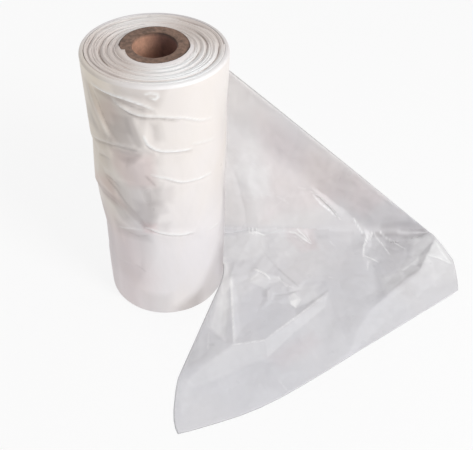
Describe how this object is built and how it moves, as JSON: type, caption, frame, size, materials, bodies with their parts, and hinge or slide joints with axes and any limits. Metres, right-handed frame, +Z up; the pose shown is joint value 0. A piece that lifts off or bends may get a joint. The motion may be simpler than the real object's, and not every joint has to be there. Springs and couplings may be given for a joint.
{
  "type": "roll of plastic bags",
  "caption": "Roll of thin translucent plastic bags on a thick paper core, standing on its end with the leading bag drawn off to the side and lying on the surface.",
  "frame": {"origin": "centre of the core's bore, in the plane that the roll stands on", "axes": "+Z up along the core; the leading bag is drawn off towards +X, and its mouth lies towards -Y"},
  "size_m": [0.2825, 0.1885, 0.2],
  "materials": {
    "core_paper": "uncoated brown core board",
    "wound_film": "milky polyethylene film, many turns deep",
    "drawn_film": "translucent polyethylene film, creased"
  },
  "bodies": {
    "root": {"core": "core_paper", "bag_roll": "wound_film", "leading_bag": "drawn_film"}
  },
  "joints": []
}
